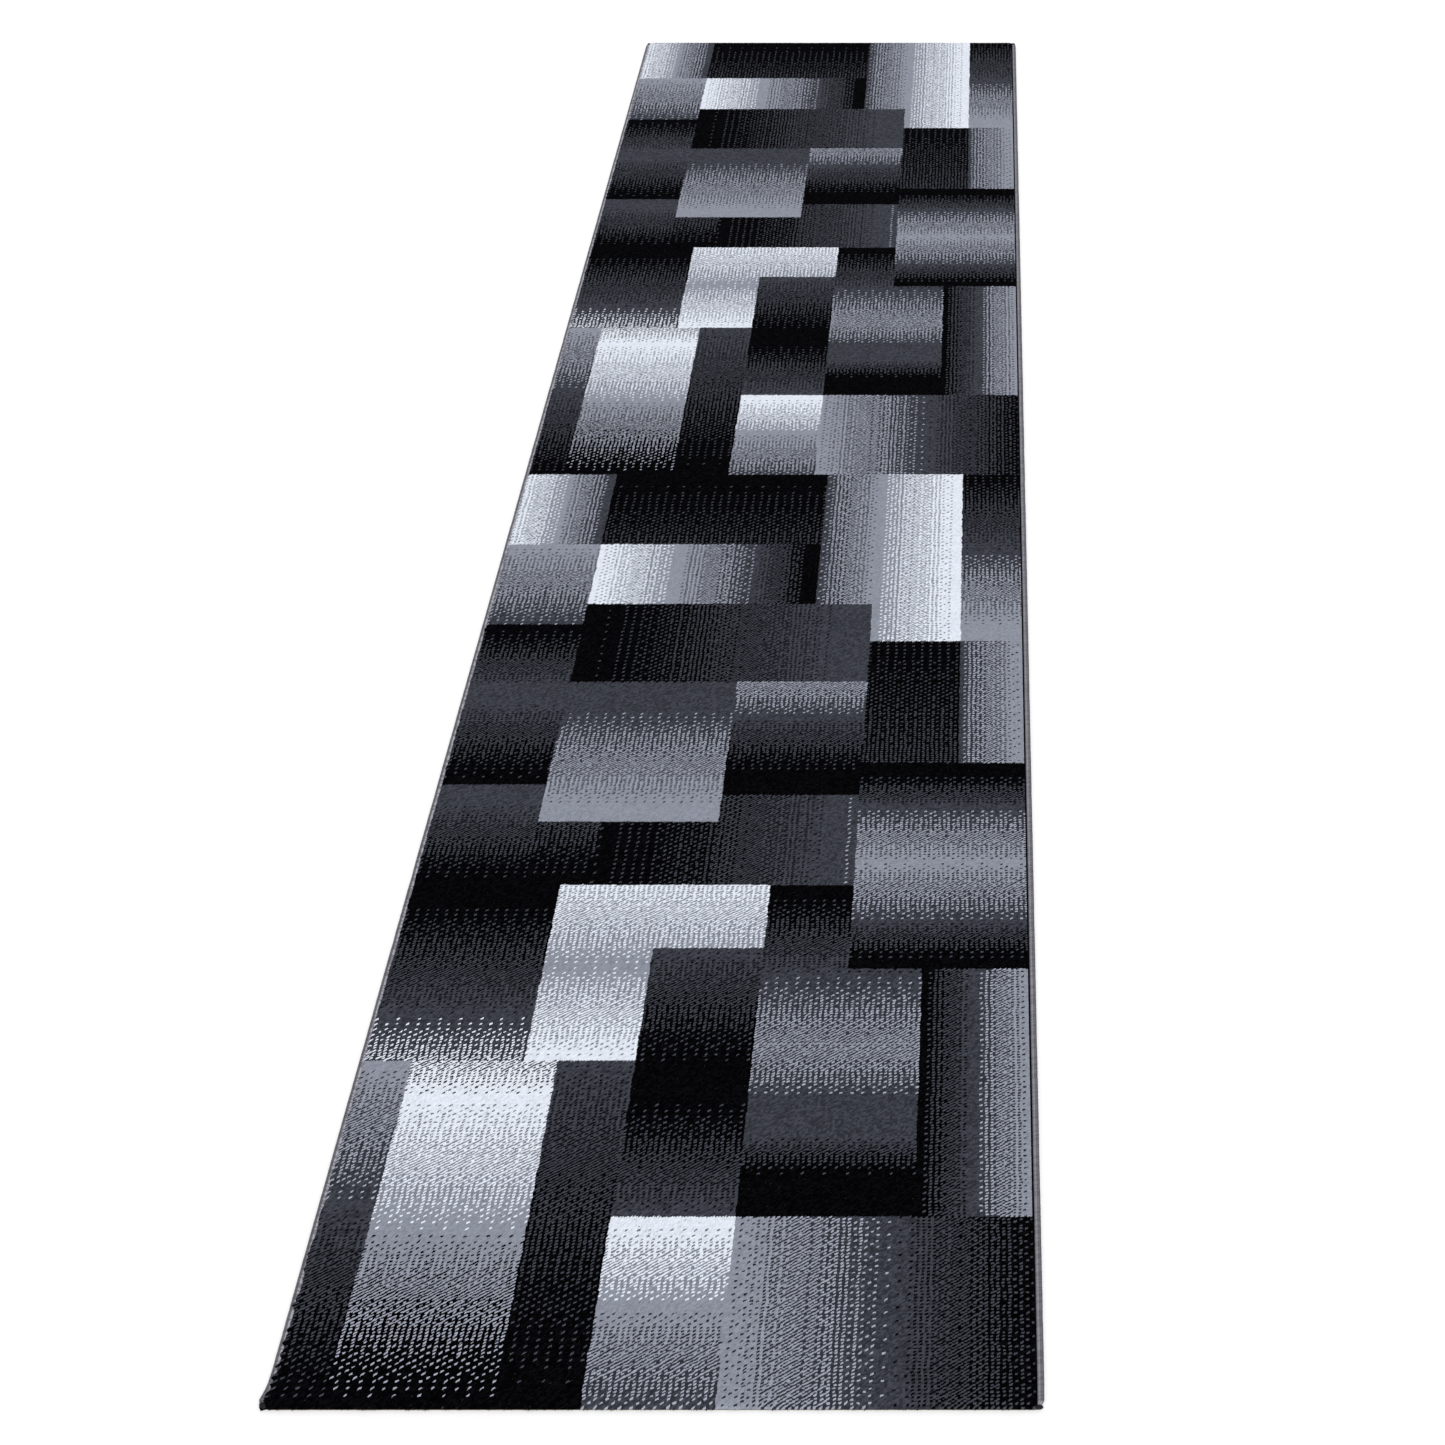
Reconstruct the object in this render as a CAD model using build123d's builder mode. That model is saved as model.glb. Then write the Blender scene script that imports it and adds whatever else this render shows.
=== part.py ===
from build123d import *
import os

os.makedirs("parts", exist_ok=True)

# A woven runner rug, lying flat. Millimetres. X runs across it, Y along it, and Z up from the
# floor. The origin is on the floor, under the middle of the rug.

# Overall size
rug_width = 800.0
rug_length = 3000.0
half_width = rug_width / 2
half_length = rug_length / 2
repeat_length = rug_length / 2  # the design is woven twice, one repeat after the other

# Layers, from the floor up
coat_thickness = 0.4
weft_thickness = 0.7
warp_thickness = 0.7
pile_height = 6.5
warp_base = coat_thickness + weft_thickness
face_base = warp_base + warp_thickness
weave_top = face_base + weft_thickness

# Overlocked side edges: a C-shaped bead of wrapped yarn with a cord and the weave's edge inside
bead_width = 8.0
bead_height = 4.6
bead_top_radius = 2.0
bead_bottom_radius = 1.2
cord_radius = 1.0
cord_inset = 2.3  # from the rug's edge to the middle of the cord
weave_inset = 3.5  # from the rug's edge to the edge of the weave inside the bead
pocket_inset = 1.2  # from the rug's edge to the pocket in the bead
bead_inner = half_width - bead_width
weave_half_width = half_width - weave_inset
pile_gap = 0.3

# Seam thread beside each bead, on the underside
seam_width = 0.8
seam_gap = 0.3
seam_rise = 0.1  # the thread is pulled in, clear of the floor
seam_end_margin = 5.0
coat_half_width = bead_inner - 2 * seam_gap - seam_width

# Cut ends
tape_width = 25.0
seal_thickness = 0.8
tail_radius = 1.6
tail_length = 7.0
tail_end_radius = 1.2
tail_inset = 4.0  # from the rug's side edge to the middle of the tail

# Care label in a window of the back coat, under the front right corner
label_width = 60.0
label_depth = 30.0
label_thickness = 0.25
label_x = 300.0
label_y = -1420.0
label_gap = 0.4
stitch_rise = 0.03
stitch_inset = 2.0
stitch_width = 0.6

# The design. A block is (left, right, top, bottom, direction, shades), with its place in
# millimetres from the left edge and from the far end of the repeat. Its shades are (position,
# yarn) pairs, and between two of them the tufts change over evenly from one yarn to the next.
BLACK, CHARCOAL, GREY, WHITE = "black", "charcoal", "grey", "white"
ACROSS, ALONG = "across", "along"
design = [
    (0, 150, 0, 168, ACROSS, [(10, WHITE), (85, GREY), (175, CHARCOAL)]),
    (150, 487, 0, 168, ALONG, [(0, BLACK), (330, CHARCOAL)]),
    (487, 700, 0, 303, ACROSS, [(495, CHARCOAL), (582, GREY), (682, WHITE)]),
    (570, 700, 303, 378, ACROSS, [(495, CHARCOAL), (582, GREY), (682, WHITE)]),
    (700, 800, 0, 378, ALONG, [(5, BLACK), (185, CHARCOAL), (372, GREY)]),
    (0, 150, 168, 346, ALONG, [(170, GREY), (340, CHARCOAL)]),
    (150, 487, 168, 303, ACROSS, [(170, WHITE), (270, GREY), (378, CHARCOAL), (480, BLACK)]),
    (150, 570, 303, 460, ACROSS, [(165, BLACK), (570, CHARCOAL)]),
    (0, 150, 346, 654, ALONG, [(350, BLACK), (500, CHARCOAL), (640, BLACK)]),
    (150, 386, 460, 505, ALONG, [(350, BLACK), (500, CHARCOAL), (640, BLACK)]),
    (150, 386, 505, 719, ALONG, [(500, CHARCOAL), (712, GREY)]),
    (386, 570, 460, 671, ALONG, [(405, GREY), (522, CHARCOAL), (645, BLACK)]),
    (570, 700, 378, 615, ALONG, [(378, BLACK), (850, CHARCOAL)]),
    (700, 800, 378, 615, ACROSS, [(702, CHARCOAL), (795, GREY)]),
    (570, 800, 615, 955, ALONG,
     [(630, BLACK), (690, CHARCOAL), (783, GREY), (875, CHARCOAL), (935, BLACK)]),
    (0, 150, 654, 825, ALONG, [(656, CHARCOAL), (830, BLACK)]),
    (150, 232, 719, 825, ALONG, [(656, CHARCOAL), (830, BLACK)]),
    (232, 386, 719, 825, ACROSS, [(235, BLACK), (565, CHARCOAL)]),
    (386, 570, 671, 825, ACROSS, [(235, BLACK), (565, CHARCOAL)]),
    (0, 196, 825, 1087, ALONG, [(840, BLACK), (1005, CHARCOAL), (1148, WHITE)]),
    (196, 465, 825, 924, ALONG, [(830, WHITE), (942, GREY), (1070, WHITE)]),
    (196, 327, 924, 1087, ALONG, [(830, WHITE), (942, GREY), (1070, WHITE)]),
    (465, 570, 825, 955, ALONG, [(830, BLACK), (965, CHARCOAL), (1127, GREY)]),
    (465, 660, 955, 1062, ALONG, [(830, BLACK), (965, CHARCOAL), (1127, GREY)]),
    (465, 660, 1062, 1288, ALONG, [(1005, GREY), (1148, CHARCOAL), (1240, BLACK)]),
    (327, 465, 924, 1288, ALONG, [(926, CHARCOAL), (1095, BLACK), (1280, CHARCOAL)]),
    (66, 236, 1087, 1500, ALONG,
     [(1005, CHARCOAL), (1148, WHITE), (1306, GREY), (1485, BLACK)]),
    (0, 66, 1087, 1500, ALONG, [(1092, GREY), (1296, CHARCOAL), (1495, BLACK)]),
    (236, 327, 1087, 1500, ALONG, [(1087, CHARCOAL), (1450, BLACK)]),
    (660, 800, 955, 1288, ACROSS, [(665, BLACK), (732, CHARCOAL), (800, GREY)]),
    (327, 465, 1288, 1500, ALONG, [(1288, WHITE), (1388, GREY), (1550, CHARCOAL)]),
    (465, 800, 1288, 1500, ACROSS, [(465, GREY), (638, CHARCOAL), (782, BLACK)]),
]


def yarn_areas(yarn):
    """The rectangles of one repeat where this yarn makes most of the tufts."""
    areas = []
    for left, right, top, bottom, direction, shades in design:
        start, stop = (left, right) if direction == ACROSS else (top, bottom)
        for i, (place, shade) in enumerate(shades):
            if shade != yarn:
                continue
            low = (shades[i - 1][0] + place) / 2 if i > 0 else start
            high = (place + shades[i + 1][0]) / 2 if i < len(shades) - 1 else stop
            low, high = max(low, start), min(high, stop)
            if high <= low:
                continue
            if direction == ACROSS:
                areas.append((low, high, top, bottom))
            else:
                areas.append((left, right, low, high))
    return areas


def export(part, label):
    part.label = label
    export_step(part, f"parts/{label}.step")


# Pile: one node for each yarn, holding the blocks of both repeats where that yarn dominates
pile_half_width = bead_inner - pile_gap
for yarn in (BLACK, CHARCOAL, GREY, WHITE):
    with BuildPart() as pile:
        with BuildSketch(Plane.XY.offset(weave_top)):
            for far_end in (half_length, half_length - repeat_length):
                for left, right, top, bottom in yarn_areas(yarn):
                    west = max(left - half_width, -pile_half_width)
                    east = min(right - half_width, pile_half_width)
                    with Locations(((west + east) / 2, far_end - (top + bottom) / 2)):
                        Rectangle(east - west, bottom - top)
        extrude(amount=pile_height)
    export(pile.part, f"pile_{yarn}")

# Ground weave: two wefts with the stuffer and chain warps between them
weave_length = rug_length - 2 * seal_thickness
for label, base, thickness in (
    ("back_weft_layer", coat_thickness, weft_thickness),
    ("warp_layer", warp_base, warp_thickness),
    ("face_weft_layer", face_base, weft_thickness),
):
    with BuildPart() as layer:
        with BuildSketch(Plane.XY.offset(base)):
            Rectangle(2 * weave_half_width, weave_length)
        extrude(amount=thickness)
    export(layer.part, label)

# Back coat: the latex film that locks the tufts, with a window for the care label
with BuildPart() as back_coat:
    with BuildSketch(Plane.XY):
        Rectangle(2 * coat_half_width, rug_length - 2 * tape_width)
        with Locations((label_x, label_y)):
            Rectangle(
                label_width + 2 * label_gap, label_depth + 2 * label_gap, mode=Mode.SUBTRACT
            )
    extrude(amount=coat_thickness)
export(back_coat.part, "back_coat")

# Side edges: overlock bead, the cord inside it and the seam thread beside it
bead_length = rug_length - 4 * tail_radius
for label, side in (("left", -1), ("right", 1)):
    edge = side * half_width
    inner = side * bead_inner
    with BuildPart() as overlock:
        with BuildSketch(Plane.XZ.offset(-bead_length / 2)) as bead_section:
            with Locations((edge - side * bead_width / 2, bead_height / 2)):
                Rectangle(bead_width, bead_height)
            fillet(bead_section.vertices().group_by(Axis.Y)[-1], bead_top_radius)
            low_corners = bead_section.vertices().group_by(Axis.Y)[0].sort_by(Axis.X)
            fillet(low_corners[-1] if side > 0 else low_corners[0], bead_bottom_radius)
            pocket_width = bead_width - pocket_inset
            pocket_height = weave_top - coat_thickness
            with Locations((inner + side * pocket_width / 2, coat_thickness + pocket_height / 2)):
                Rectangle(pocket_width, pocket_height, mode=Mode.SUBTRACT)
        extrude(amount=bead_length)
    export(overlock.part, f"{label}_overlock")

    with BuildPart() as cord:
        with BuildSketch(Plane.XZ.offset(-bead_length / 2)):
            with Locations((edge - side * cord_inset, coat_thickness + pocket_height / 2)):
                Circle(cord_radius)
        extrude(amount=bead_length)
    export(cord.part, f"{label}_selvedge_cord")

    with BuildPart() as seam:
        with BuildSketch(Plane.XY.offset(seam_rise)):
            with Locations((inner - side * (seam_gap + seam_width / 2), 0)):
                SlotOverall(rug_length - 2 * seam_end_margin, seam_width, rotation=90)
        extrude(amount=coat_thickness - seam_rise)
    export(seam.part, f"{label}_overlock_seam")

# Cut ends: a strip of hem tape under the end, and the glue that seals the cut yarns
for label, end in (("front", -1), ("rear", 1)):
    with BuildPart() as tape:
        with BuildSketch(Plane.XY):
            with Locations((0, end * (half_length - tape_width / 2))):
                Rectangle(2 * coat_half_width, tape_width)
        extrude(amount=coat_thickness)
    export(tape.part, f"{label}_end_tape")

    with BuildPart() as seal:
        with BuildSketch(Plane.XY.offset(coat_thickness)):
            with Locations((0, end * (half_length - seal_thickness / 2))):
                Rectangle(2 * weave_half_width, seal_thickness)
        extrude(amount=weave_top - coat_thickness)
    export(seal.part, f"{label}_end_seal")

# Overlock tails: the yarn left at each corner, turned in and knotted on top of the weave
with BuildPart() as tails:
    tail_spots = [
        (side * (half_width - tail_inset), end * (half_length - tail_radius))
        for side in (-1, 1)
        for end in (-1, 1)
    ]
    for x, y in tail_spots:
        start = Plane(origin=(x - tail_length / 2, y, weave_top + tail_radius), z_dir=(1, 0, 0))
        with BuildSketch(start):
            Circle(tail_radius)
        extrude(amount=tail_length)
    fillet(tails.edges().filter_by(GeomType.CIRCLE), tail_end_radius)
export(tails.part, "overlock_tails")

# Care label, blank, and the line of stitches round it
with BuildPart() as label_cloth:
    with BuildSketch(Plane.XY.offset(coat_thickness - label_thickness)):
        with Locations((label_x, label_y)):
            Rectangle(label_width, label_depth)
    extrude(amount=label_thickness)
export(label_cloth.part, "care_label")

with BuildPart() as label_stitching:
    with BuildSketch(Plane.XY.offset(stitch_rise)):
        with Locations((label_x, label_y)):
            Rectangle(label_width - 2 * stitch_inset, label_depth - 2 * stitch_inset)
            hole_inset = stitch_inset + stitch_width
            Rectangle(
                label_width - 2 * hole_inset, label_depth - 2 * hole_inset, mode=Mode.SUBTRACT
            )
    extrude(amount=coat_thickness - label_thickness - stitch_rise)
export(label_stitching.part, "care_label_stitching")
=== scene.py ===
# %% [markdown]
# # A woven runner rug
# A runner rug is four colours of pile yarn tied into a thin woven ground, a latex film under it,
# and a wrapped yarn edge down each long side. This lesson builds each of those as its own piece,
# around a plain CAD model that already fixes every size. Everything is in metres, in the CAD
# model's own frame: X runs across the rug, Y along it and Z up from the floor.

# %% Load the frame
import math

import bmesh
import bpy
from mathutils import Matrix, Vector, noise


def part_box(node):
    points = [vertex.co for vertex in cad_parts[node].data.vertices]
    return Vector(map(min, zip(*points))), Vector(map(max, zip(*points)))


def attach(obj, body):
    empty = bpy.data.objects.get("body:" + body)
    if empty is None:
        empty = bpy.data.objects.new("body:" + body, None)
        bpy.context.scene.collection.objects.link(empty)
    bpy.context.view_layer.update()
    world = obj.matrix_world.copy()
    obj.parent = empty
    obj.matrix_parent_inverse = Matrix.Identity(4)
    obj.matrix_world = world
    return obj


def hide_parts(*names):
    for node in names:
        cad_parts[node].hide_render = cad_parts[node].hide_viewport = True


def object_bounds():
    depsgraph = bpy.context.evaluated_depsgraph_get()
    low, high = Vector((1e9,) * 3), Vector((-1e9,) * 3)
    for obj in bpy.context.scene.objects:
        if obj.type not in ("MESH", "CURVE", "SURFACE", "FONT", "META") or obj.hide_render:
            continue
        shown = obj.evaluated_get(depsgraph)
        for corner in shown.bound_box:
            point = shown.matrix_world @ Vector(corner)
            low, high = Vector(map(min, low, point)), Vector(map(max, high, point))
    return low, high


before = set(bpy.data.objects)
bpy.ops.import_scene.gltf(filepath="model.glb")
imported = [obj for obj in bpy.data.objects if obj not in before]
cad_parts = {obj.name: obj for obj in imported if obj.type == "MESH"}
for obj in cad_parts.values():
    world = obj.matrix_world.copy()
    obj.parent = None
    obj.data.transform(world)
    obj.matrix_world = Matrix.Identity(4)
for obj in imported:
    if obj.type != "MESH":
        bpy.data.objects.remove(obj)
cad_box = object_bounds()
scene = bpy.context.scene
MM = 0.001
print("CAD nodes:", len(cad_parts), "box:", cad_box)

# %% [markdown]
# ## The camera
# A long thin thing seen from its end is mostly perspective, so the camera comes first. It stands
# a little outside the front end, at eye height, near the right edge. It looks straight down the
# rug with no turn to the side, which keeps the two short ends level. The rug sits left of the
# line of sight, and a sideways lens shift brings it back to the middle, as a view camera does.

# %% Place the camera
CAMERA_PLACE = (0.3435, -2.257, 1.815)
CAMERA_PITCH = 46.43  # degrees below the horizon
lens = bpy.data.cameras.new("camera")
lens.sensor_width = 36
lens.lens = 44.8
lens.shift_x = -0.1848
lens.clip_start = 0.01
camera = bpy.data.objects.new("camera", lens)
camera.location = CAMERA_PLACE
camera.rotation_euler = (math.radians(90 - CAMERA_PITCH), 0, 0)
scene.collection.objects.link(camera)
scene.camera = camera
print("camera height above the floor:", camera.location.z)

# %% [markdown]
# ## Sizes from the frame
# The CAD boxes say how wide and tall each layer is, so no size is typed twice. The pile's four
# nodes share one layer, and any of them gives its top and foot.

# %% Read the layers
pile_low, pile_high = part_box("pile_charcoal")
weave_low, weave_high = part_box("back_weft_layer")[0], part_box("face_weft_layer")[1]
rug_length = cad_box[1][1] - cad_box[0][1]
rug_width = cad_box[1][0] - cad_box[0][0]
print("pile from", round(pile_low.z, 4), "to", round(pile_high.z, 4), "rug", rug_width, rug_length)

# %% [markdown]
# ## The tuft grid
# The loom sets one tuft at each crossing of its reed and its picks: about 320 tufts to the metre
# across and 540 along. All of the pattern is made of those crossings, so the script counts in
# columns and rows first, and turns them into metres at the very end. Four yarns are woven, and
# each tuft is exactly one of them.

# %% Count columns and rows
COLUMNS = 251
REPEAT_ROWS = 806
REPEATS = 2
ROWS = REPEAT_ROWS * REPEATS
column_pitch = (pile_high.x - pile_low.x) / COLUMNS
row_pitch = rug_length / ROWS
print("tufts:", COLUMNS * ROWS, "pitch in mm:", column_pitch / MM, row_pitch / MM)

# %% [markdown]
# ## The design
# The design is a patchwork of rectangles. Each shades from one yarn to another, either across
# the rug or along it. A block is (left, right, top, bottom, direction, shades), in millimetres
# from the left edge and from the far end of the repeat. Shades are (position, yarn) pairs.

# %% Write down the blocks
YARNS = ("black", "charcoal", "grey", "white")
BLACK, CHARCOAL, GREY, WHITE = range(4)
ACROSS, ALONG = "across", "along"
DESIGN = [
    (0, 150, 0, 168, ACROSS, [(0, WHITE), (76, GREY), (145, CHARCOAL)]),
    (150, 487, 0, 168, ALONG, [(0, BLACK), (430, CHARCOAL)]),
    (487, 700, 0, 300, ACROSS, [(480, CHARCOAL), (572, GREY), (688, WHITE)]),
    (570, 700, 300, 378, ACROSS, [(480, CHARCOAL), (572, GREY), (688, WHITE)]),
    (700, 800, 0, 378, ALONG, [(-20, BLACK), (180, CHARCOAL), (345, GREY)]),
    (0, 150, 168, 343, ALONG, [(175, GREY), (345, CHARCOAL)]),
    (150, 487, 168, 300, ACROSS, [(150, WHITE), (272, GREY), (395, CHARCOAL), (480, BLACK)]),
    (150, 570, 300, 460, ACROSS, [(165, BLACK), (520, CHARCOAL)]),
    (0, 150, 343, 654, ALONG, [(350, BLACK), (468, CHARCOAL), (505, CHARCOAL), (648, BLACK)]),
    (150, 386, 460, 505, ALONG, [(350, BLACK), (468, CHARCOAL), (505, CHARCOAL)]),
    (150, 386, 505, 719, ALONG, [(515, CHARCOAL), (690, GREY)]),
    (386, 570, 460, 671, ALONG, [(425, GREY), (530, CHARCOAL), (640, BLACK)]),
    (570, 700, 378, 615, ALONG, [(250, BLACK), (1050, CHARCOAL)]),
    (700, 800, 378, 615, ACROSS, [(692, CHARCOAL), (785, GREY)]),
    (570, 800, 615, 955, ALONG,
     [(630, BLACK), (692, CHARCOAL), (788, GREY), (885, CHARCOAL), (945, BLACK)]),
    (0, 150, 654, 825, ALONG, [(690, CHARCOAL), (825, BLACK)]),
    (150, 232, 719, 825, ALONG, [(645, CHARCOAL), (825, BLACK)]),
    (232, 386, 719, 825, ACROSS, [(200, BLACK), (676, CHARCOAL)]),
    (386, 570, 671, 825, ACROSS, [(234, BLACK), (535, CHARCOAL), (900, GREY)]),
    (0, 196, 825, 1087, ALONG, [(840, BLACK), (1022, CHARCOAL), (1180, WHITE)]),
    (196, 465, 825, 924, ALONG, [(790, WHITE), (950, GREY), (1085, WHITE)]),
    (196, 327, 924, 1087, ALONG, [(790, WHITE), (950, GREY), (1085, WHITE)]),
    (465, 570, 825, 955, ALONG, [(830, BLACK), (965, CHARCOAL), (1127, GREY)]),
    (465, 660, 955, 1062, ALONG, [(830, BLACK), (965, CHARCOAL), (1127, GREY)]),
    (465, 660, 1062, 1288, ALONG,
     [(1035, GREY), (1140, CHARCOAL), (1190, CHARCOAL), (1238, BLACK)]),
    (327, 465, 924, 1288, ALONG, [(926, CHARCOAL), (1105, BLACK), (1130, BLACK), (1285, CHARCOAL)]),
    (66, 236, 1087, 1500, ALONG,
     [(1005, CHARCOAL), (1138, WHITE), (1306, GREY), (1512, BLACK)]),
    (0, 66, 1087, 1500, ALONG, [(1092, GREY), (1275, CHARCOAL), (1520, BLACK)]),
    (236, 327, 1087, 1500, ALONG, [(1080, CHARCOAL), (1505, BLACK)]),
    (660, 800, 955, 1288, ACROSS, [(655, BLACK), (722, CHARCOAL), (790, GREY)]),
    (327, 465, 1288, 1500, ALONG, [(1300, WHITE), (1392, GREY), (1520, CHARCOAL)]),
    (465, 800, 1288, 1500, ACROSS, [(465, GREY), (643, CHARCOAL), (840, BLACK)]),
]
print("blocks in one repeat:", len(DESIGN))

# %% [markdown]
# ## Shading with four yarns
# A loom can't blend colours, so it mixes tufts. The designer's tool for that is an ordered
# pattern: every crossing of an eight by eight tile has a rank from 0 to 63, and a tuft takes the
# second yarn when its rank is below the second yarn's share. A quarter share then gives a neat
# lattice of single tufts, and a half share gives a checkerboard.

# %% Rank the crossings
TILE_BITS = 3


def tuft_rank(column, row):
    """The share above which this crossing takes the second yarn."""
    rank = 0
    for bit in range(TILE_BITS):
        step = (column >> bit & 1) + 2 * (row >> bit & 1)
        rank = 4 * rank + (0, 2, 3, 1)[step]
    return (rank + 0.5) / 4**TILE_BITS


def yarns_at(shades, place):
    """The two yarns that meet at a place in a block, and the share of the second."""
    if place <= shades[0][0]:
        return shades[0][1], shades[0][1], 0
    for (start, first), (stop, second) in zip(shades, shades[1:]):
        if place < stop:
            return first, second, (place - start) / (stop - start)
    return shades[-1][1], shades[-1][1], 0


print("ranks along a row:", [round(tuft_rank(c, 0), 2) for c in range(8)])

# %% [markdown]
# A light tuft catches the eye among dark ones, so a designer lets the lighter yarn come in slowly,
# the more so the darker the other yarn is. Raising its share to a power does that. The thinnest
# mix is one tuft in sixteen, because a sparser one would read as faults in the weave. Only the
# last trace of a yarn is left thinner than that.

# %% Weave one repeat
LAGS = {BLACK: 1.65, CHARCOAL: 1.2, GREY: 1.0}  # the power, by the darker yarn of the two
THINNEST = 1 / 16
TRACE = 0.03  # a share below this is left as it is
woven = [[BLACK] * COLUMNS for _ in range(REPEAT_ROWS)]
column_places = [
    (rug_width / 2 + pile_low.x + (c + 0.5) * column_pitch) / MM for c in range(COLUMNS)
]
row_places = [(r + 0.5) * row_pitch / MM for r in range(REPEAT_ROWS)]
for left, right, top, bottom, direction, shades in DESIGN:
    block_columns = [c for c in range(COLUMNS) if left <= column_places[c] < right]
    block_rows = [r for r in range(REPEAT_ROWS) if top <= row_places[r] < bottom]
    for r in block_rows:
        for c in block_columns:
            place = column_places[c] if direction == ACROSS else row_places[r]
            first, second, share = yarns_at(shades, place)
            if first < second:
                share = share ** LAGS[first]
            elif second < first:
                share = 1 - (1 - share) ** LAGS[second]
            if TRACE < share < 1 - TRACE:
                share = min(max(share, THINNEST), 1 - THINNEST)
            woven[r][c] = second if tuft_rank(c, r) < share else first
for yarn, name in enumerate(YARNS):
    print(name, sum(row.count(yarn) for row in woven) * REPEATS, "tufts")

# %% [markdown]
# ## Pile yarn materials
# Cut pile looks matt because light goes in between the fibres and mostly stays there. So the
# yarns have no gloss, and only a faint sheen from the fibre sides, which shows at low angles.
# Each colour comes in three tints, because two ends of the same dye lot never match exactly, and
# the dark yarns vary most. Each colour also has two lighter tints for a tuft among darker ones,
# a painted highlight, and two deeper tints for a tuft among lighter ones, a painted shade. The
# tints are real materials on real tufts, so the pattern stays sharp however near the camera is.

# %% Make the yarns
YARN_COLOURS = {
    "black": (0.0015, 0.0015, 0.002),
    "charcoal": (0.043, 0.046, 0.059),
    "grey": (0.262, 0.28, 0.337),
    "white": (0.74, 0.78, 0.86),
}
YARN_SHEEN = {"black": 0.02, "charcoal": 0.15, "grey": 0.35, "white": 0.2}
# After three plain tints, each colour has two lighter ones, a painted highlight, and two deeper
# ones, a painted shade.
YARN_TINTS = {
    "black": (0.6, 1.1, 2.2, 1.0, 1.0, 0.7, 0.5),
    "charcoal": (0.68, 1.0, 1.34, 1.2, 1.45, 0.68, 0.42),
    "grey": (0.9, 1.0, 1.08, 1.2, 1.45, 0.78, 0.62),
    "white": (0.95, 1.0, 1.04, 1.05, 1.1, 0.95, 0.9),
}
TINTS = 7
FIRST_PAINTED_LIGHT, FIRST_PAINTED_SHADE = 3, 5


def pile_yarn(name, colour, sheen):
    """A matt yarn of one colour, with the faint sheen of its fibres."""
    material = bpy.data.materials.new(name)
    material.use_nodes = True
    shader = material.node_tree.nodes["Principled BSDF"]
    shader.inputs["Base Color"].default_value = (*colour, 1)
    shader.inputs["Roughness"].default_value = 0.95
    shader.inputs["Specular IOR Level"].default_value = 0
    shader.inputs["Sheen Weight"].default_value = sheen
    shader.inputs["Sheen Roughness"].default_value = 0.4
    return material


yarn_tints = {
    name: [
        pile_yarn(f"{name}_pile_yarn_{i + 1}", [tint * c for c in colour], YARN_SHEEN[name])
        for i, tint in enumerate(YARN_TINTS[name])
    ]
    for name, colour in YARN_COLOURS.items()
}
print("pile materials:", sum(len(tints) for tints in yarn_tints.values()))

# %% [markdown]
# ## Handing a piece over
# Every finished mesh goes through one helper. It makes the object, gives it its materials, lets
# it ride with the rug, and hides the CAD nodes that it stands for.


def hand_over(bm, name, materials, slot, *nodes):
    """Make the object of a finished bmesh, and free the bmesh."""
    mesh = bpy.data.meshes.new(name)
    for face in bm.faces:
        face.smooth = True
    bm.to_mesh(mesh)
    bm.free()
    for material in materials:
        mesh.materials.append(material)
    piece = bpy.data.objects.new(name, mesh)
    scene.collection.objects.link(piece)
    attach(piece, "root")
    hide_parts(*nodes)
    print(name, len(mesh.polygons), "faces")
    return piece


# %% [markdown]
# ## Where a tuft stands
# Every tuft is a small slanted brush: its cut end leans up and to the right, one row for each
# column it crosses, so tufts that touch at a corner run together into fine diagonal lines. The
# columns wander a little, and the pile rolls over at every edge because nothing holds it up
# there. On the left the outermost tufts flop over the overlocked edge in ragged clumps.

# %% Roll the pile over at its edges
SIDE_ROUND, SIDE_DROP = 5 * MM, 1.2 * MM
END_ROUND, END_DROP = 11 * MM, 4.0 * MM
EDGE_GAP = 1.1 * MM  # the outermost tufts stand this far back from the overlocking
EDGE_FOOT = 1.0 * MM  # and their feet reach this far under it
CORNER_SPREAD, CORNER_CENTRE, CORNER_LENGTH = 5.2, 4 * MM, 15 * MM  # the spread is in mm
CORNER_WIDTH = 45 * MM  # how far in from the left edge the spread begins
TIP_CUT, TIP_LENGTH = 3.4, 5 * MM  # what the round tip takes off the spread, in mm
FLOOR_CLEAR = 0.6 * MM
COVER_HEIGHT, COVER_WIDTH = 4.4 * MM, 1.15  # tufts lie this high, on this many bead widths
COVER_END, COVER_END_DROP = 7 * MM, 0.8
bead_low, bead_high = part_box("left_overlock")
bead_reach = (bead_high.x - bead_low.x) / 2


def pile_fall(x, y):
    """How far the tips lie below the full pile height."""
    side_gap = max(0, min(x - pile_low.x, pile_high.x - x))
    end_gap = max(0, min(y - pile_low.y, pile_high.y - y))
    return (
        SIDE_DROP * max(0, 1 - side_gap / SIDE_ROUND) ** 2
        + END_DROP * max(0, 1 - end_gap / END_ROUND) ** 2
    )


def bell(distance, width):
    """1 at no distance, and nearly 0 at twice the width."""
    return math.exp(-((distance / width) ** 2))


def splay(x, y):
    """How far the front left corner of the rug has spread to the left, with a round tip."""
    inward = min(1, max(0, 1 - (x - bead_low.x) / CORNER_WIDTH))
    front = max(0, y - pile_low.y)
    tip = max(0, 1 - front / TIP_LENGTH) ** 2
    spread_out = CORNER_SPREAD * bell(front - CORNER_CENTRE, CORNER_LENGTH)
    return MM * inward * (spread_out - TIP_CUT * tip)


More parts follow.
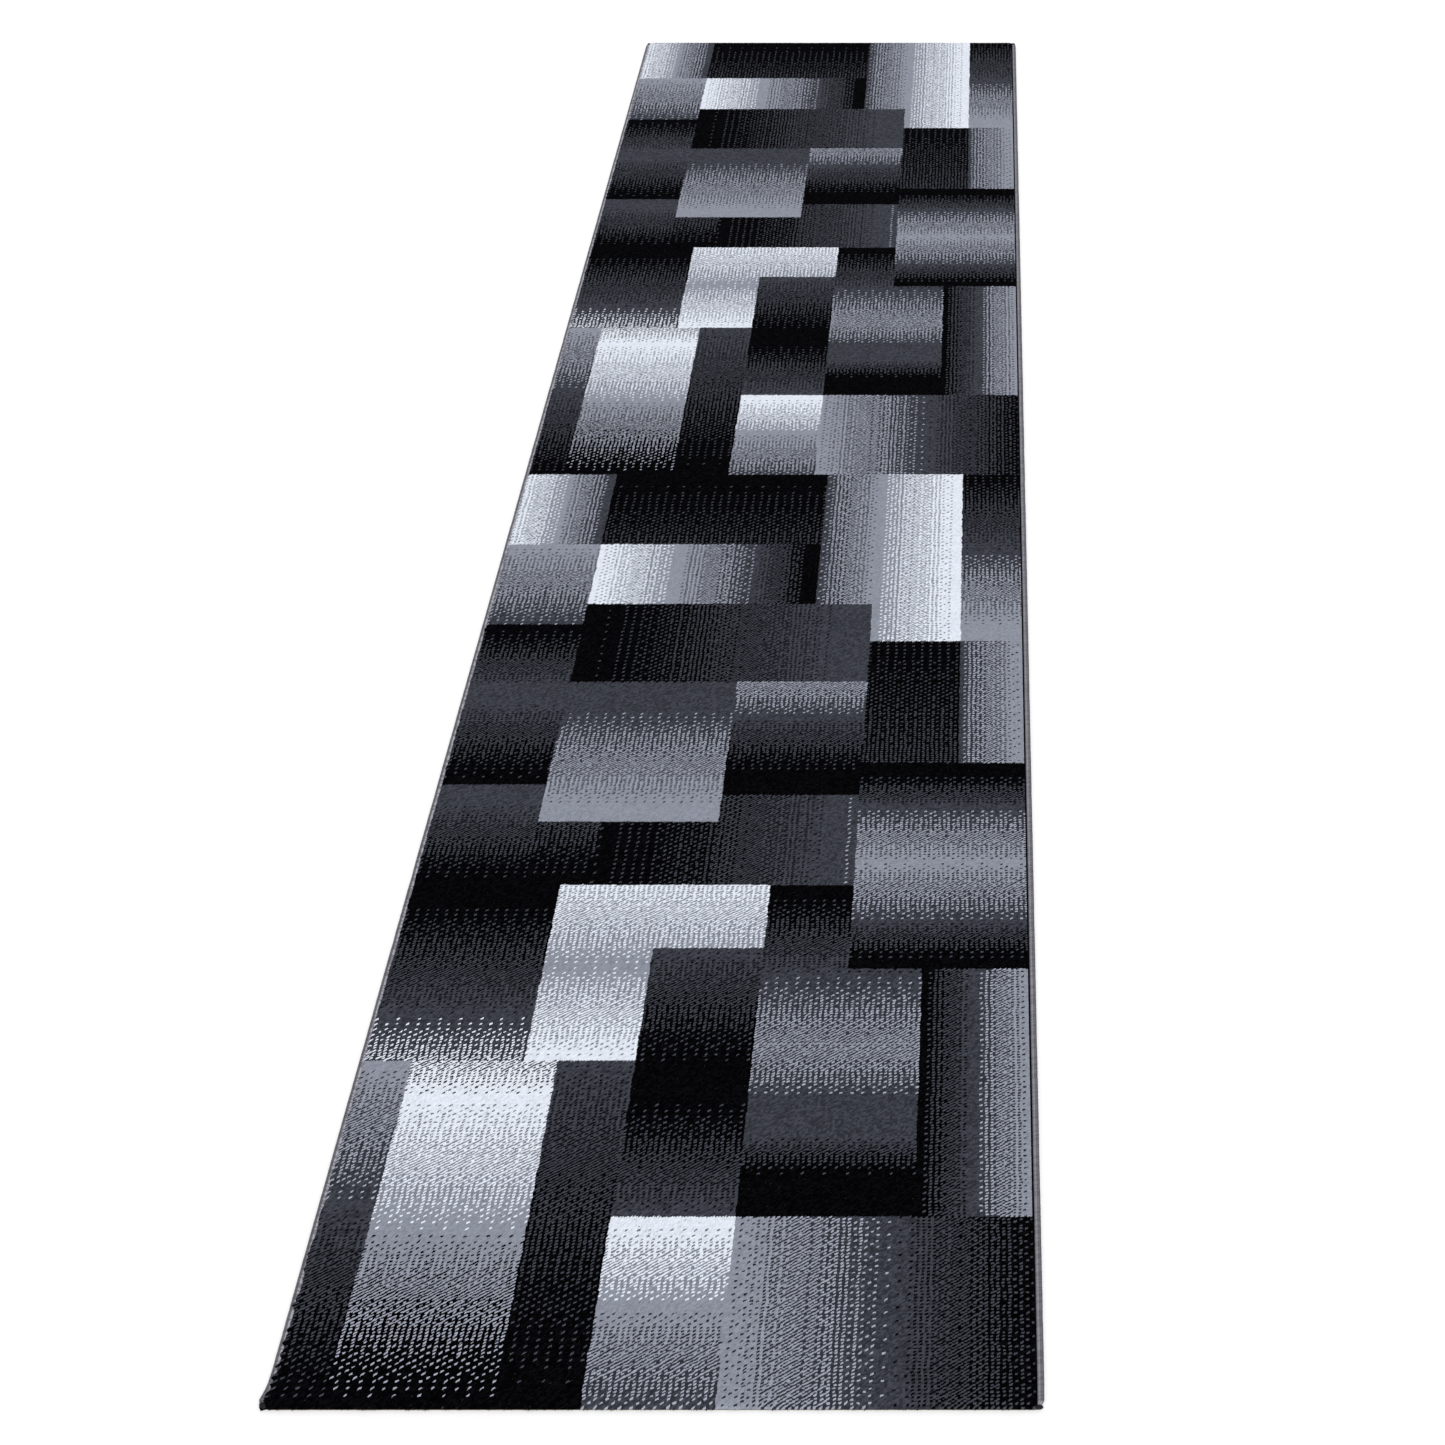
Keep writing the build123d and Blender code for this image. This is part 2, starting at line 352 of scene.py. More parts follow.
def resting_height(x, y):
    """The lowest a tuft may lie: on the left overlocking, or just clear of the floor."""
    across = (x - (bead_low.x + bead_reach)) / (COVER_WIDTH * bead_reach)
    if abs(across) >= 1:
        return FLOOR_CLEAR
    end_gap = min(y - pile_low.y, pile_high.y - y)
    ending = min(1, max(0, 1 - end_gap / COVER_END))
    roundness = math.sqrt((1 - across**2) * (1 - COVER_END_DROP * ending**2))
    return FLOOR_CLEAR + COVER_HEIGHT * roundness


print("fall at the front end in mm:", pile_fall(0, pile_low.y) / MM)

# %% [markdown]
# Noise moves the tufts, and it comes in three grades. A slow drift bends whole columns, a quicker
# curl leans small groups together, and a grain of pure chance sets each tuft a little apart from
# the next. `noise_vector` shifts its pattern by the noise module's seed, which is the clock
# unless it is set. So the seed is set first, and the rug comes out the same every time.

# %% Place one tuft
NOISE_SEED = 1
noise.seed_set(NOISE_SEED)
TUFT_RISE = 1.3 * MM  # tip above the foot that is modelled
TUFT_SPREAD = 1.35  # each foot reaches under its neighbours, so no gap opens
TUFT_LEAN = 1.0  # rows climbed for each column crossed
LEAN_LOSS, LEAN_CURL, LEAN_GRAIN = 0.5, 0.7, 0.6  # lost towards the right, and varied by noise
LONELY_RISE = 0.1 * MM  # a tuft alone among another colour stands this much prouder
SHEARING = 0.45 * MM  # how much the cut height varies
CUT_SLOPE = 1.2 * MM  # how much a cut end tilts, over one tuft
DRIFT_SCALE_X, DRIFT_SCALE_Y = 38, 62
CURL_SCALE_X, CURL_SCALE_Y = 150, 190
DRIFT_X, DRIFT_Y = 1.3 * MM, 0.4 * MM
CURL_X, CURL_Y = 1.0 * MM, 0.7 * MM
GRAIN = 0.8 * MM
CREEP, CREEP_MIDDLE, CREEP_REACH = 9 * MM, 0.07, 0.4
FLOP, FLOP_REACH, FLOP_LIMIT = 6.5 * MM, 9 * MM, 7.5 * MM
FLOP_SINK = 0.5  # how far a tuft sinks for each metre it leans out
FLOP_CLUMPS = ((9.5, 210), (3.5, 60))  # a row of the noise, and its scale along the rug
CLUMP_SIZE, CLUMP_BIAS = 0.9, 0.3
FLOP_EVEN, FLOP_RAGGED, RAGGED_LENGTH = 0.25, 0.75, 190 * MM
CORNER_CLUMPS = ((1.1, 0, 10 * MM), (0.8, 34 * MM, 5 * MM))  # size, place and half length
END_GAP = 0.4 * MM  # the walls stand this far inside the two ends
half = Vector((0.5, 0.5, 0.5))


def left_flop(x, y):
    """How far a tuft near the left edge leans out over the overlocking."""
    near = min(1, max(0, 1 - (x - pile_low.x) / FLOP_REACH)) ** 2
    if near == 0:
        return 0
    clump = sum(
        CLUMP_SIZE * noise.noise(Vector((row, y * scale, 0))) for row, scale in FLOP_CLUMPS
    )
    front = y - pile_low.y
    corner = sum(size * bell(front - at, length) for size, at, length in CORNER_CLUMPS)
    ragged = FLOP_EVEN + FLOP_RAGGED * bell(front, RAGGED_LENGTH)
    return near * min(FLOP_LIMIT, FLOP * max(0, ragged * (clump + CLUMP_BIAS) + corner))


def neighbours(column, row):
    """How many of the eight tufts round this one are darker, and how many are lighter."""
    yarn = woven[row][column]
    darker = lighter = 0
    for c in (column - 1, column, column + 1):
        for r in (row - 1, row, row + 1):
            other = woven[r % REPEAT_ROWS][min(max(c, 0), COLUMNS - 1)]
            darker += other < yarn
            lighter += other > yarn
    return darker, lighter


def beat_up(y):
    """How far the weave has crept along where the picks were beaten up less tightly."""
    return CREEP * math.exp(-(((y - CREEP_MIDDLE) / CREEP_REACH) ** 2))


def place_tuft(face, lonely):
    """Move a grid face to where its tuft stands; lonely is 0 to 1."""
    centre = face.calc_center_median()
    x = pile_low.x + centre.x * column_pitch
    y = pile_low.y + centre.y * row_pitch
    inward = min(1, min(centre.x, COLUMNS - centre.x) * column_pitch / SIDE_ROUND)
    drift = noise.noise_vector(Vector((x * DRIFT_SCALE_X, y * DRIFT_SCALE_Y, 0)))
    curl = noise.noise_vector(Vector((x * CURL_SCALE_X, y * CURL_SCALE_Y, 4)))
    grain = noise.cell_vector(Vector((centre.x, centre.y, 7.5))) - half
    tilt = noise.cell_vector(Vector((centre.x, centre.y, 11.5))) - half
    x += inward * (DRIFT_X * drift.x + CURL_X * curl.x) + GRAIN * grain.x
    y += inward * (DRIFT_Y * drift.y + CURL_Y * curl.z) + GRAIN * grain.y + beat_up(y)
    lean = TUFT_LEAN - LEAN_LOSS * max(0, x / pile_high.x) + LEAN_CURL * curl.y
    lean += LEAN_GRAIN * tilt.z
    top = pile_high.z - SHEARING * (grain.z + 0.5) - TUFT_RISE - LONELY_RISE * (1 - lonely)
    for vert in face.verts:
        a = (vert.co.x - centre.x) * TUFT_SPREAD
        b = (vert.co.y - centre.y) * TUFT_SPREAD
        spot_x = min(x + a * column_pitch, pile_high.x - EDGE_GAP)
        spot_y = y + (b + lean * a) * row_pitch
        slope = CUT_SLOPE * (tilt.x * a + tilt.y * b)
        flop = left_flop(spot_x, spot_y)
        height = top + slope - pile_fall(spot_x, spot_y) - FLOP_SINK * flop
        spot_x -= flop + splay(spot_x, spot_y)
        vert.co = (spot_x, spot_y, max(height, resting_height(spot_x, spot_y)))


def place_wall(face):
    """Stand a side wall's quad up, just inside the outline."""
    for vert in face.verts:
        u, v, w = vert.co
        inset = EDGE_GAP if w > -0.5 else -EDGE_FOOT
        x = pile_low.x + u * column_pitch + (inset if u < 1 else -inset if u > COLUMNS - 1 else 0)
        y = pile_low.y + v * row_pitch
        y += END_GAP if v < 1 else -END_GAP if v > ROWS - 1 else 0
        top = pile_high.z - pile_fall(x, y) - TUFT_RISE
        vert.co = (x - splay(x, y), y, top if w > -0.5 else pile_low.z)


print("flop at the front left corner in mm:", left_flop(pile_low.x, pile_low.y) / MM)

# %% [markdown]
# ## Growing the pile
# The pile starts as a flat grid with one face to a tuft. Its outline edges are extruded down to
# make the side walls, and every edge is split so that each tuft stands alone. `poke` then raises
# a tip in the middle of every face, which is the cheapest shape that still reads as a tuft: four
# triangles. A section is a quarter of the rug, so that no piece grows too heavy. The last step
# cuts each section into its four yarns.

# %% Grow one section
SECTIONS = 4
SECTION_ROWS = ROWS // SECTIONS
ODD_ONE, LONE_ONE = 3, 5  # a tuft with more unlike neighbours than this gets a stronger tint
PLAIN_TINT_RANGE = 1.4999  # turns a chance from -1 to 1 into a plain tint, 0, 1 or 2


def on_outline(edge):
    """Whether a grid edge lies on the rug's own outline."""
    us = {round(v.co.x) for v in edge.verts}
    vs = {round(v.co.y) for v in edge.verts}
    return edge.is_boundary and any(
        spots == {limit} for spots, limit in ((us, 0), (us, COLUMNS), (vs, 0), (vs, ROWS))
    )


def pile_section(first_row):
    """A quarter of the pile, with each tuft's yarn and tint in its material index."""
    bm = bmesh.new()
    bmesh.ops.create_grid(bm, x_segments=COLUMNS, y_segments=SECTION_ROWS, size=0.5)
    bmesh.ops.scale(bm, vec=(COLUMNS, SECTION_ROWS, 1), verts=bm.verts)
    middle = (COLUMNS / 2, first_row + SECTION_ROWS / 2, 0)
    bmesh.ops.translate(bm, vec=middle, verts=bm.verts)
    rim = [edge for edge in bm.edges if on_outline(edge)]
    wall = bmesh.ops.extrude_edge_only(bm, edges=rim)["geom"]
    for corner in wall:
        if isinstance(corner, bmesh.types.BMVert):
            corner.co.z = -1
    bmesh.ops.split_edges(bm, edges=[e for e in bm.edges if not e.is_boundary])
    for face in bm.faces:
        centre = face.calc_center_median()
        column = min(int(centre.x), COLUMNS - 1)
        row = min(int(centre.y), ROWS - 1)
        chance = noise.cell(Vector((column + 0.5, row + 0.5, 2.5)))
        tint = int(PLAIN_TINT_RANGE * (1 + chance))
        woven_row = REPEAT_ROWS - 1 - row % REPEAT_ROWS
        yarn = woven[woven_row][column]
        if centre.z < -0.1:
            # The walls along the two long sides take the black yarn whatever their tuft's yarn:
            # painted shade in the gap beside the overlocking.
            painted_shade_wall = centre.x < 0.1 or centre.x > COLUMNS - 0.1
            face.material_index = TINTS * (BLACK if painted_shade_wall else yarn) + tint
            place_wall(face)
        else:
            darker, lighter = neighbours(column, woven_row)
            # A tuft among darker ones gets a lighter tint, a painted highlight, and one among
            # lighter ones a deeper tint, a painted shade.
            if max(darker, lighter) > ODD_ONE:
                tint = FIRST_PAINTED_LIGHT if darker > lighter else FIRST_PAINTED_SHADE
                tint += max(darker, lighter) > LONE_ONE
            face.material_index = TINTS * yarn + tint
            place_tuft(face, (darker + lighter) / 8)
    bm.normal_update()
    bmesh.ops.poke(bm, faces=bm.faces, offset=TUFT_RISE)
    return bm


print("rows in a section:", SECTION_ROWS)

# %% Cut the sections into yarns
for section in range(SECTIONS):
    grown = pile_section(section * SECTION_ROWS)
    for yarn, name in enumerate(YARNS):
        one = grown.copy()
        others = [f for f in one.faces if f.material_index // TINTS != yarn]
        bmesh.ops.delete(one, geom=others, context="FACES")
        for face in one.faces:
            face.material_index %= TINTS
        hand_over(
            one, f"pile_{name}_{section + 1}", yarn_tints[name], f"{name}_pile_yarn",
            f"pile_{name}",
        )
    grown.free()

# %% [markdown]
# ## Materials for the rest
# The edge yarn is a mauve-grey, in tints that change from wrap to wrap. The pieces below the
# pile are plain stuff: a jute and cotton weave, a latex film, cotton tape, glue, thread and a
# label. They share one recipe, a mottled colour with a fine bump.

# %% Make the other materials
def mottled(name, dark, light, scale, depth, roughness):
    """A rough material whose colour wanders between two near shades."""
    material = bpy.data.materials.new(name)
    material.use_nodes = True
    nodes, links = material.node_tree.nodes, material.node_tree.links
    shader = nodes["Principled BSDF"]
    shader.inputs["Roughness"].default_value = roughness
    shader.inputs["Specular IOR Level"].default_value = 0.2
    place = nodes.new("ShaderNodeTexCoord")
    grain = nodes.new("ShaderNodeTexNoise")
    grain.inputs["Scale"].default_value = scale
    grain.inputs["Detail"].default_value = 3
    links.new(place.outputs["Object"], grain.inputs["Vector"])
    ramp = nodes.new("ShaderNodeValToRGB")
    ramp.color_ramp.elements[0].position = 0.35
    ramp.color_ramp.elements[0].color = (*dark, 1)
    ramp.color_ramp.elements[1].position = 0.65
    ramp.color_ramp.elements[1].color = (*light, 1)
    links.new(grain.outputs["Fac"], ramp.inputs["Fac"])
    links.new(ramp.outputs["Color"], shader.inputs["Base Color"])
    bump = nodes.new("ShaderNodeBump")
    bump.inputs["Distance"].default_value = depth
    links.new(grain.outputs["Fac"], bump.inputs["Height"])
    links.new(bump.outputs["Normal"], shader.inputs["Normal"])
    return material


# The first edge tint is the painted shade low on the outer face of the bead.
EDGE_TINTS = [
    (0.075, 0.072, 0.085), (0.12, 0.116, 0.136), (0.155, 0.149, 0.172),
    (0.235, 0.228, 0.258), (0.29, 0.284, 0.318), (0.4, 0.4, 0.45),
]
edge_yarns = [pile_yarn(f"overlock_yarn_{i}", tint, 0.1) for i, tint in enumerate(EDGE_TINTS)]
# The tails' near-black colour is painted shade.
shaded_tail_yarn = pile_yarn("overlock_tail_yarn", (0.02, 0.02, 0.024), 0.05)
jute = mottled("ground_weave", (0.42, 0.35, 0.24), (0.58, 0.51, 0.38), 420, 0.2 * MM, 0.9)
latex = mottled("latex_coat", (0.52, 0.48, 0.39), (0.62, 0.58, 0.49), 60, 0.1 * MM, 0.7)
tape_cloth = mottled("hem_tape", (0.4, 0.36, 0.28), (0.5, 0.46, 0.37), 500, 0.1 * MM, 0.9)
glue = mottled("seal_glue", (0.02, 0.018, 0.018), (0.05, 0.045, 0.045), 300, 0.2 * MM, 0.6)
thread = mottled("seam_thread", (0.13, 0.13, 0.155), (0.19, 0.19, 0.22), 900, 0.1 * MM, 0.8)
label_cloth = mottled("label_cloth", (0.74, 0.74, 0.71), (0.82, 0.82, 0.79), 700, 0.05 * MM, 0.8)
print("edge tints:", len(edge_yarns))

# %% [markdown]
# ## The overlocked edges
# Each long edge is wrapped with yarn, round and round over a cord and the cut edge of the weave.
# A grid rolled into a tube gives the bead, and its rows are pushed in and out to give one ridge
# to each wrap. The wraps slant a little, as they do when the machine feeds, and the bead turns
# in and closes at the corners.

# %% Roll a grid into a tube
def rolled_tube(around, along, place):
    """A closed tube: place(u, v) gives the point at u sides round and v steps along."""
    bm = bmesh.new()
    bmesh.ops.create_grid(bm, x_segments=around, y_segments=along, size=0.5)
    bmesh.ops.scale(bm, vec=(around, along, 1), verts=bm.verts)
    bmesh.ops.translate(bm, vec=(around / 2, along / 2, 0), verts=bm.verts)
    for face in bm.faces:
        face.material_index = int(face.calc_center_median().y)  # its step along, for the tints
    for vert in bm.verts:
        vert.co = place(round(vert.co.x) % around, round(vert.co.y))
    rim = [v for v in bm.verts if v.is_boundary]
    bmesh.ops.remove_doubles(bm, verts=rim, dist=1e-7)
    bmesh.ops.holes_fill(bm, edges=[e for e in bm.edges if e.is_boundary], sides=around)
    bmesh.ops.recalc_face_normals(bm, faces=bm.faces)
    return bm


sample = rolled_tube(6, 2, lambda u, v: Vector((math.cos(u), math.sin(u), v)))
print("faces of a six-sided tube of two steps:", len(sample.faces))
sample.free()

# %% Wrap the two edges
WRAP_PITCH = 1.9 * MM
WRAP_STEPS = 4
WRAP_RIPPLE = (-0.35 * MM, 0.05 * MM, 0.2 * MM, 0.05 * MM)
BEAD_SIDES = 8
BEAD_SQUARENESS = 2.6  # 2 is an ellipse, and more is squarer
BEAD_TURN = 7 * MM  # how much of each end turns in
BEAD_CLOSE = 0.9  # how far the ends close, where 1 is fully
END_DRAW = 2.6 * MM  # how far the seam draws each end towards the rug
WRAP_SLANT = 0.5 * MM
WRAP_SLACK, WRAP_LIFT = 0.18 * MM, 0.15 * MM  # how unevenly the wraps are pulled
SWAY, SWAY_SCALE = 0.35 * MM, 45  # the slow bends of the whole edge
INNER_FULLNESS = 0.5 * MM  # the wraps bulge towards the pile
BEAD_CLEAR = 0.05 * MM
OUTER_FACE, OUTER_SIDE, INNER_SIDE = 1.9 * MM, 0.9 * MM, -1 * MM  # from the bead's middle
SHADED_HEIGHT = 1.2 * MM
DARKEST, DARK, LIGHT, FUZZ = 0, 1, 3, 5  # places in EDGE_TINTS
FUZZ_CHANCE = 0.45


def wrap_tint(number, centre, sign, middle):
    """Darkest low on the outer face, where shade is painted, dark on the rest of the outer side,
    light on the inner, and random from wrap to wrap.
    """
    outward = sign * (centre.x - middle.x)
    chance = 0.5 + 0.5 * noise.cell(Vector((number + 0.5, sign + 5.5, 0.5)))
    # The lowest part of the outer face takes the darkest tint: painted shade.
    if outward > OUTER_FACE and centre.z < middle.z + SHADED_HEIGHT:
        return DARKEST
    if outward > OUTER_SIDE:
        return DARK + (chance > 0.5)
    if sign < 0 and outward < INNER_SIDE and chance > FUZZ_CHANCE:
        return FUZZ
    return LIGHT + (chance > 0.5)


def wrapped_edge(side, sign):
    """The wrapped bead of one side; sign is -1 on the left and 1 on the right."""
    low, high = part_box(f"{side}_overlock")
    steps = round((high.y - low.y) / WRAP_PITCH) * WRAP_STEPS
    middle, reach = (low + high) / 2, (high - low) / 2

    def bead_point(u, v):
        turn = 2 * math.pi * u / BEAD_SIDES
        power = 2 / BEAD_SQUARENESS
        across = math.copysign(abs(math.cos(turn)) ** power, math.cos(turn))
        up = math.copysign(abs(math.sin(turn)) ** power, math.sin(turn))
        y = low.y + v * (high.y - low.y) / steps
        ending = max(0, 1 - min(y - low.y, high.y - y) / BEAD_TURN)
        size = math.sqrt(1 - (BEAD_CLOSE * ending) ** 2)
        loose = noise.noise_vector(Vector((v // WRAP_STEPS * 0.7, sign, 0.5)))
        ripple = WRAP_RIPPLE[v % WRAP_STEPS] + WRAP_SLACK * loose.x
        sway = SWAY * noise.noise(Vector((y * SWAY_SCALE, sign, 3.5)))
        out = size * across * (reach.x + ripple) - END_DRAW * ending**2 + min(0, sway)
        out += INNER_FULLNESS * max(0, -across)
        z = middle.z * size + size * up * (reach.z + ripple) + WRAP_LIFT * loose.y
        y += size * WRAP_SLANT * across
        x = middle.x + sign * out
        return Vector((x - splay(x, y), min(max(y, low.y), high.y), max(z, BEAD_CLEAR)))

    bead = rolled_tube(BEAD_SIDES, steps, bead_point)
    for face in bead.faces:
        wrap = face.material_index // WRAP_STEPS
        face.material_index = wrap_tint(wrap, face.calc_center_median(), sign, middle)
    return bead


for side, sign in (("left", -1), ("right", 1)):
    hand_over(
        wrapped_edge(side, sign), f"{side}_overlock_wraps", edge_yarns, "overlock_yarn",
        f"{side}_overlock",
    )

# %% [markdown]
# The four yarn tails at the corners are short twisted ends, tucked in and glued. They show as
# small dark knobs, and their near-black colour is painted shade. One twisted tube is rolled for
# each.

# %% Twist the tails
def merged(parts):
    """One bmesh that holds several."""
    whole = bmesh.new()
    for part in parts:
        mesh = bpy.data.meshes.new("part")
        part.to_mesh(mesh)
        whole.from_mesh(mesh)
        part.free()
        bpy.data.meshes.remove(mesh)
    return whole


TAIL_SIDES, TAIL_STEPS = 8, 14
STRAND, TWIST = 0.15, 9  # how much two strands show, and how fast they turn
TAIL_HEIGHT, TAIL_DROP, TAIL_CLEAR = 1.5 * MM, 1.2 * MM, 0.3 * MM


def knob(corner_x, corner_y, radius, inset):
    """A tail from inset inside the side edge outwards, at one corner."""
    end = rug_length / 2

    def tail_point(u, v):
        turn = 2 * math.pi * u / TAIL_SIDES
        along = v / TAIL_STEPS
        thick = radius * math.sqrt(max(0.02, 1 - (2 * along - 1) ** 4))
        thick *= 1 + STRAND * math.cos(2 * turn + TWIST * along)
        x = corner_x * (rug_width / 2 - inset + (inset - 0.7 * radius) * along)
        y = corner_y * (end - radius) + thick * math.cos(turn)
        z = 1.1 * radius + TAIL_HEIGHT - TAIL_DROP * along**2 + thick * math.sin(turn)
        return Vector((x - splay(x, y), max(-end, min(end, y)), max(z, TAIL_CLEAR)))

    return rolled_tube(TAIL_SIDES, TAIL_STEPS, tail_point)


tails = merged([
    knob(-1, -1, 2.9 * MM, 8 * MM),
    knob(1, -1, 2.0 * MM, 10 * MM),
    knob(-1, 1, 1.7 * MM, 8 * MM),
    knob(1, 1, 1.7 * MM, 8 * MM),
])
for face in tails.faces:
    face.material_index = 0
hand_over(tails, "overlock_tail_knobs", [shaded_tail_yarn], "overlock_yarn", "overlock_tails")

# %% [markdown]
# ## The ground weave and its coat
# The weave is a sheet of cloth: it was cut to its flat size, and it lies on its latex coat. A slab
# is a grid whose faces are extruded upward, with each row of points on the underside set by a
# small ripple, so the wefts show as ribs.

# %% Build a slab
def slab(xs, ys, low_z, high_z, missing=None):
    """A closed slab on the grid lines xs and ys; low_z(x, y) is its underside."""
    bm = bmesh.new()
    bmesh.ops.create_grid(bm, x_segments=len(xs) - 1, y_segments=len(ys) - 1, size=0.5)
    bmesh.ops.scale(bm, vec=(len(xs) - 1, len(ys) - 1, 1), verts=bm.verts)
    bmesh.ops.translate(bm, vec=((len(xs) - 1) / 2, (len(ys) - 1) / 2, 0), verts=bm.verts)
    for vert in bm.verts:
        x, y = xs[round(vert.co.x)], ys[round(vert.co.y)]
        vert.co = (x, y, low_z(x, y))
    if missing:
        gone = [f for f in bm.faces if missing(f.calc_center_median())]
        bmesh.ops.delete(bm, geom=gone, context="FACES")
    raised = bmesh.ops.extrude_face_region(bm, geom=bm.faces)["geom"]
    for corner in raised:
        if isinstance(corner, bmesh.types.BMVert):
            corner.co.z = high_z
    bmesh.ops.recalc_face_normals(bm, faces=bm.faces)
    return bm


def spread(low, high, pitch):
    """Evenly spaced lines from low to high, about one pitch apart."""
    count = max(1, round((high - low) / pitch))
    return [low + (high - low) * i / count for i in range(count + 1)]


def ribbed(base, height, pitch):
    """An underside with ribs across the rug."""
    return lambda x, y: base + height * (0.5 + 0.5 * math.cos(2 * math.pi * y / pitch))


print("lines from 0 to 10 by 3:", spread(0, 10, 3))

# %% Lay the coat and the weave
LABEL_MARGIN = 0.5 * MM
COAT_RIB, WEAVE_RIB = 0.12 * MM, 0.1 * MM
STRIP = 0.4  # the weave is straight across the rug, so it needs only a line or two that way
coat_low, coat_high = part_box("back_coat")
label_low, label_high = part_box("care_label")
window_front, window_rear = label_low.y - LABEL_MARGIN, label_high.y + LABEL_MARGIN
coat_xs = [coat_low.x, label_low.x - LABEL_MARGIN, label_high.x + LABEL_MARGIN, coat_high.x]
coat_ys = spread(coat_low.y, window_front, row_pitch / 2)
coat_ys += spread(window_front, window_rear, row_pitch / 2)[1:]
coat_ys += spread(window_rear, coat_high.y, row_pitch / 2)[1:]


def under_label(spot):
    """Whether a spot of the coat is where the label is sewn, which was left bare."""
    return coat_xs[1] < spot.x < coat_xs[2] and window_front < spot.y < window_rear


coat_bm = slab(coat_xs, coat_ys, ribbed(0.0, COAT_RIB, row_pitch), coat_high.z, under_label)
coat = hand_over(coat_bm, "latex_film", [latex], "latex_coat", "back_coat")
weave_xs = spread(weave_low.x, weave_high.x, STRIP)
weave_ys = spread(weave_low.y, weave_high.y, row_pitch)
weave_bm = slab(
    weave_xs, weave_ys, ribbed(weave_low.z, WEAVE_RIB, 2 * row_pitch), weave_high.z
)
weave = hand_over(
    weave_bm, "ground_weave_cloth", [jute], "ground_weave",
    "face_weft_layer", "warp_layer", "back_weft_layer",
)
print("coat thickness in mm:", (coat_high.z - coat_low.z) / MM)

# %% [markdown]
# ## The cut ends
# A cut end is closed with a thin bead of dark glue, and a few pale warp ends stick out of it.
# Under each end lies a cotton tape with fine ribs.

# %% Close the ends
GLUE_SIDES, GLUE_STEPS = 6, 300
GLUE_LUMPS, LUMP_SCALE, GLUE_TAPER = 0.3, 90, 0.5


def glue_bead(node):
    """The lumpy bead of glue along one cut end."""
    low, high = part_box(node)
    middle, reach = (low + high) / 2, (high - low) / 2

    def bead(u, v):
        turn = 2 * math.pi * u / GLUE_SIDES
        x = low.x + v * (high.x - low.x) / GLUE_STEPS
        lump = 0.8 + GLUE_LUMPS * noise.noise(Vector((x * LUMP_SCALE, middle.y, 0)))
        lump -= (v in (0, GLUE_STEPS)) * GLUE_TAPER
        y = middle.y + lump * reach.y * math.cos(turn)
        return Vector((x, y, middle.z + lump * reach.z * math.sin(turn)))

    bm = rolled_tube(GLUE_SIDES, GLUE_STEPS, bead)
    for face in bm.faces:
        face.material_index = 0
    return bm


STUB_FOOT, STUB_TIP = 0.35 * MM, 0.25 * MM
STUB_INSET, STUB_HEIGHT, STUB_DROOP = 0.3 * MM, 1.5 * MM, 0.2


def warp_end(x, end, size):
    """A short pale stub that sticks out of the glue."""
    bm = bmesh.new()
    bmesh.ops.create_cone(
        bm, cap_ends=True, segments=6, radius1=STUB_FOOT, radius2=STUB_TIP, depth=size
    )
    turn = Vector((0, end, -STUB_DROOP)).to_track_quat("Z", "X").to_matrix()
    bmesh.ops.rotate(bm, matrix=turn, verts=bm.verts)
    place = (x, end * (rug_length / 2 - STUB_INSET), STUB_HEIGHT)
    bmesh.ops.translate(bm, vec=place, verts=bm.verts)
    return bm


WARP_ENDS = 46
WARP_SPAN = 0.78
SHORTEST_STUB, STUB_RANGE = 0.6, 2  # in mm
TAPE_RIB, TAPE_PITCH = 0.1 * MM, 1.0 * MM
stubs = []
for end in (-1, 1):
    for i in range(WARP_ENDS):
        chance = noise.cell_vector(Vector((i + 0.5, end + 5.5, 0.5)))
        x = (i + chance.x) / WARP_ENDS * WARP_SPAN - WARP_SPAN / 2
        stubs.append(warp_end(x, end, (SHORTEST_STUB + STUB_RANGE * chance.y) * MM))
hand_over(merged(stubs), "cut_warp_ends", [jute], "ground_weave", "warp_layer")
for name in ("front_end", "rear_end"):
    hand_over(glue_bead(f"{name}_seal"), f"{name}_glue_bead", [glue], "seal_glue", f"{name}_seal")
    low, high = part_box(f"{name}_tape")
    tape = slab(
        spread(low.x, high.x, TAPE_PITCH), [low.y, high.y],
        lambda x, y: TAPE_RIB * (0.5 + 0.5 * math.cos(math.pi * x / TAPE_PITCH)), high.z,
    )
    hand_over(tape, f"{name}_ribbed_tape", [tape_cloth], "hem_tape", f"{name}_tape")

# %% [markdown]
# ## Stitches
# A stitch is a small flattened ball, and a seam is one stitch repeated by `spin` with no turn,
# only a step along the seam. The same helper sews both overlocks and the label.

# %% Sew the overlocks
STITCH_PITCH = 5 * MM
STITCH = (4.2 * MM, 0.8 * MM, 0.3 * MM)


def seam(start, step, count, size):
    """A row of stitches: start and step are vectors, size is (length, width, height)."""
    bm = bmesh.new()
    bmesh.ops.create_uvsphere(bm, u_segments=6, v_segments=3, radius=0.5)
    bmesh.ops.scale(bm, vec=size, verts=bm.verts)
    turn = Matrix.Rotation(math.atan2(step.y, step.x), 3, "Z")
    bmesh.ops.rotate(bm, matrix=turn, verts=bm.verts)
    bmesh.ops.translate(bm, vec=start, verts=bm.verts)
    bmesh.ops.spin(
        bm, geom=bm.faces, cent=start, axis=(0, 0, 1), dvec=step, angle=0,
        steps=count - 1, use_duplicate=True,
    )
    return bm


